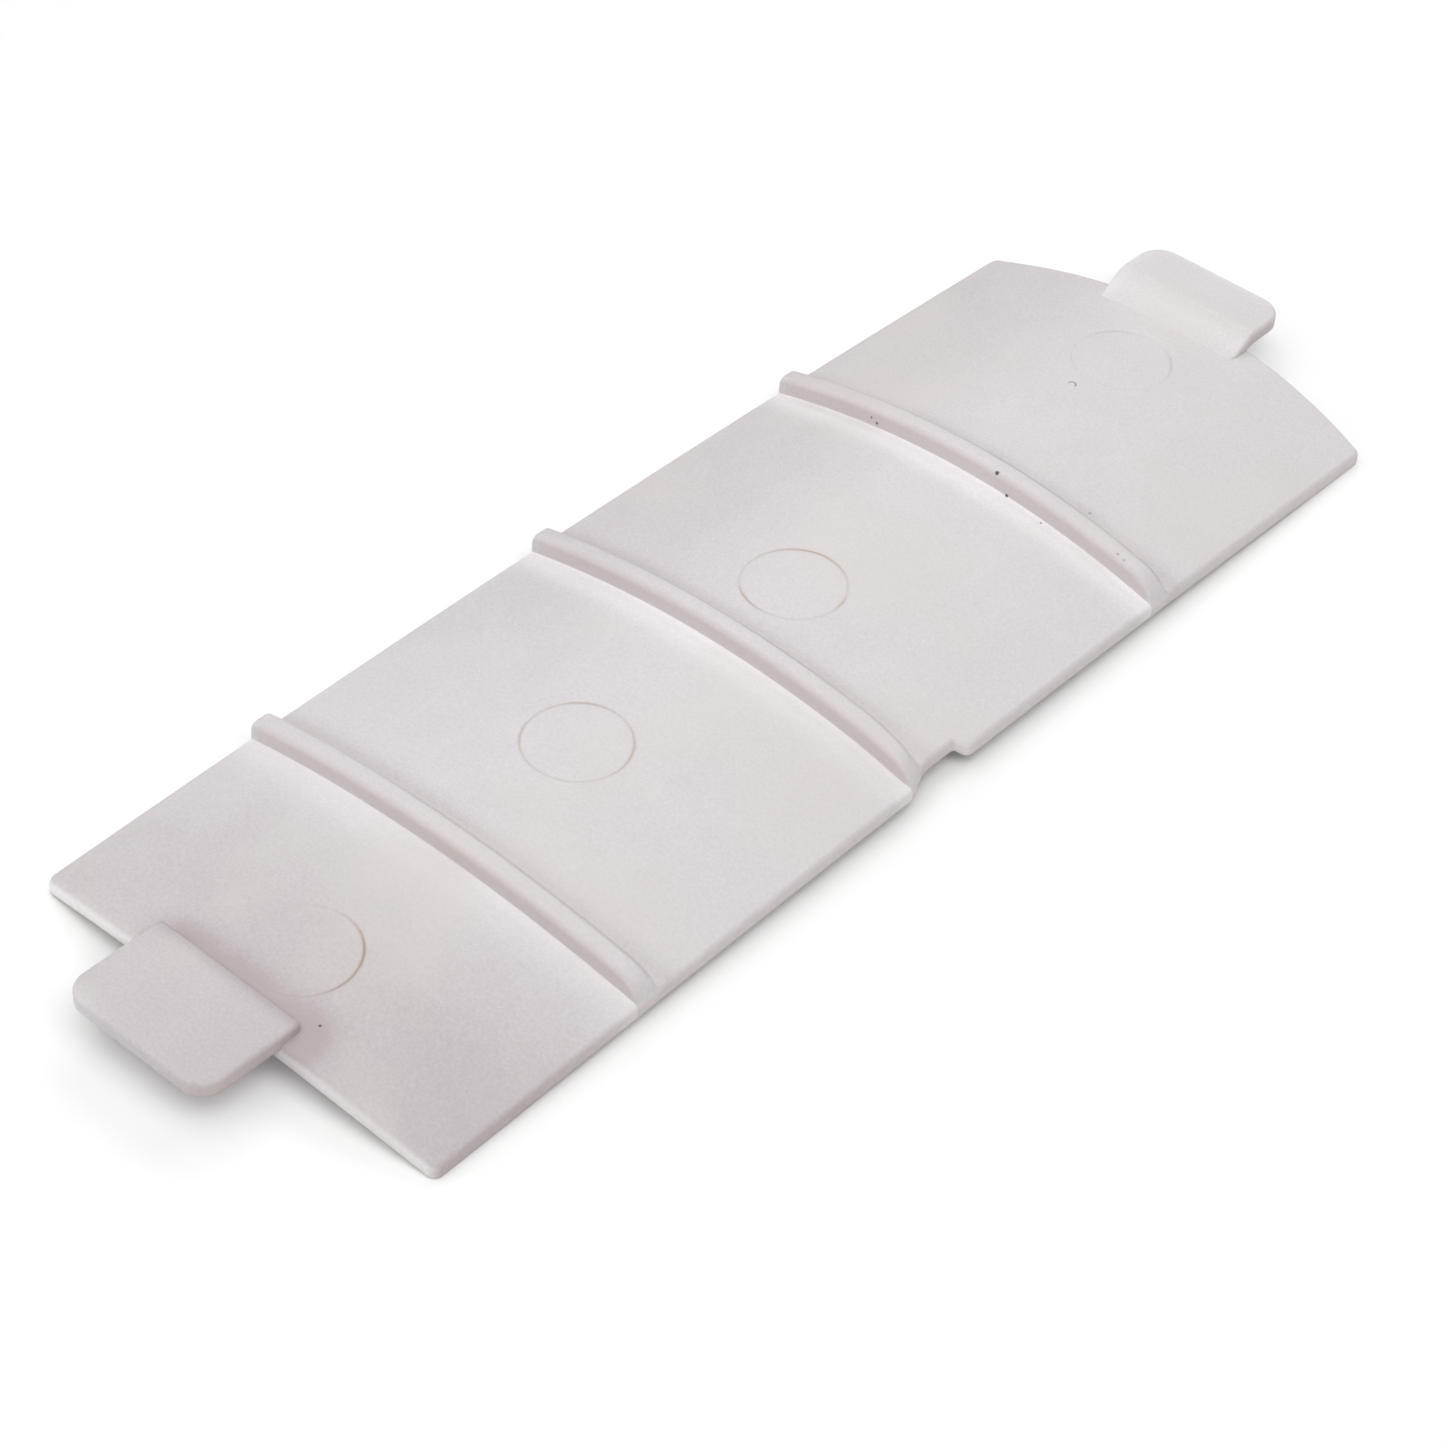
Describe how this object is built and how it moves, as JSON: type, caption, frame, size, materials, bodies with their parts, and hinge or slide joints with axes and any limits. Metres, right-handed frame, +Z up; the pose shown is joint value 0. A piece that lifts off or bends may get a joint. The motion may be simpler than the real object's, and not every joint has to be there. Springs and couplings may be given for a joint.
{
  "type": "crowned plastic cover strip",
  "caption": "Thin crowned strip moulding with three raised cross ribs, a stepped flat tab at each end and a gate pocket in one long edge.",
  "frame": {"origin": "on the supporting surface, below the middle of the outline", "axes": "+X across the strip toward the edge with the gate pocket, +Y along it toward the end with the sloped tab, +Z up toward the ribbed convex side"},
  "size_m": [0.046, 0.1476, 0.0073],
  "materials": {
    "white_moulding": "satin off-white injection moulded plastic"
  },
  "bodies": {
    "root": {"crowned_strip": "white_moulding", "near_rib": "white_moulding", "middle_rib": "white_moulding", "far_rib": "white_moulding", "near_tab": "white_moulding", "far_tab": "white_moulding"}
  },
  "joints": []
}
